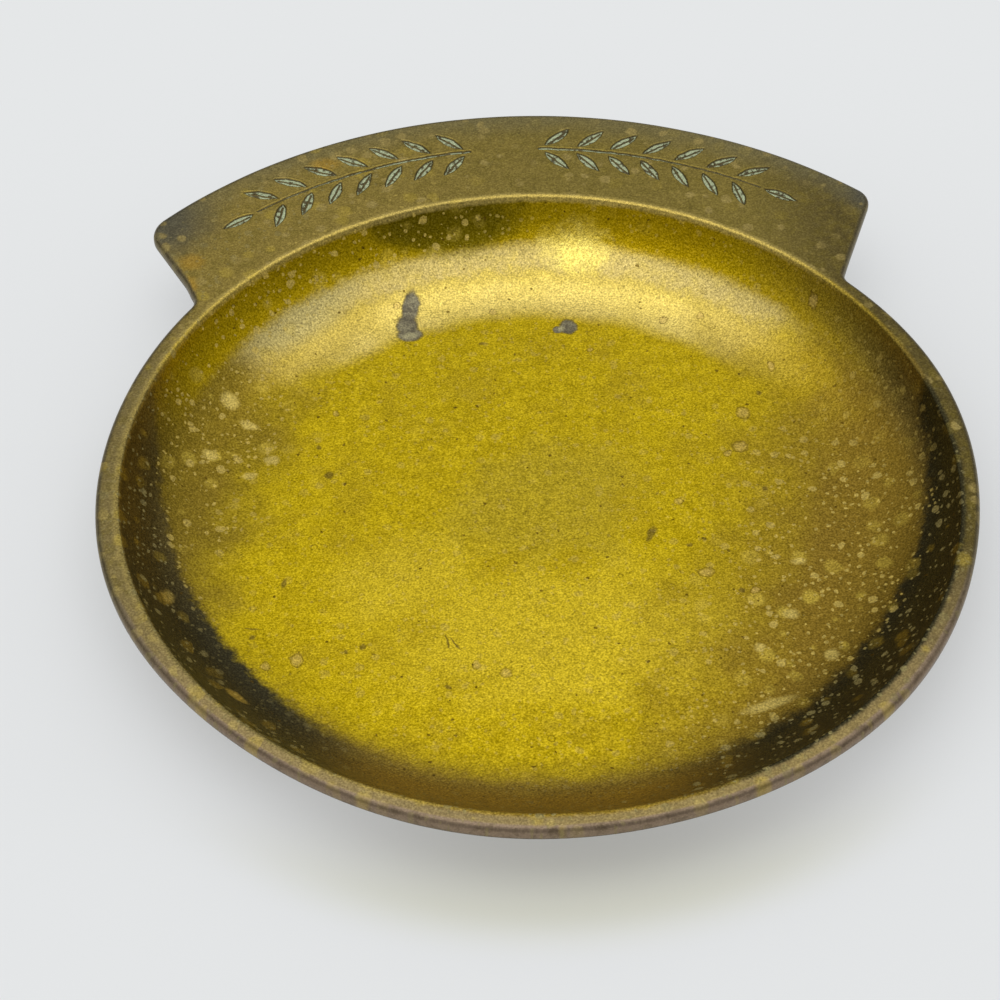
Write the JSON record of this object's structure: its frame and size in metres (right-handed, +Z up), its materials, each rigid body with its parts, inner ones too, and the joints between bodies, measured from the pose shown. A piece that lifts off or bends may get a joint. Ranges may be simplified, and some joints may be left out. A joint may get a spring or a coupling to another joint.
{
  "type": "coin tray",
  "caption": "Shallow round cast brass coin dish with a thick rounded rim and a flat flared tab at the back with engraved leaf sprays, standing on a felt disc.",
  "frame": {"origin": "centre of the felt disc's underside, on the axis of the round dish, at the surface that the tray stands on", "axes": "+Z up, out of the bowl's mouth; +Y towards the middle of the flared tab; +X to the right when the tab is at the back"},
  "size_m": [0.15, 0.1718, 0.0173],
  "materials": {
    "aged_brass": "cast brass, worn golden in the bowl and tarnished olive brown on the rim and tab, with pale and dark spots",
    "clear_adhesive": "thin double-sided film",
    "felt": "pressed green felt"
  },
  "bodies": {
    "root": {"tray_casting": "aged_brass", "adhesive_film": "clear_adhesive", "felt_pad": "felt"}
  },
  "joints": []
}
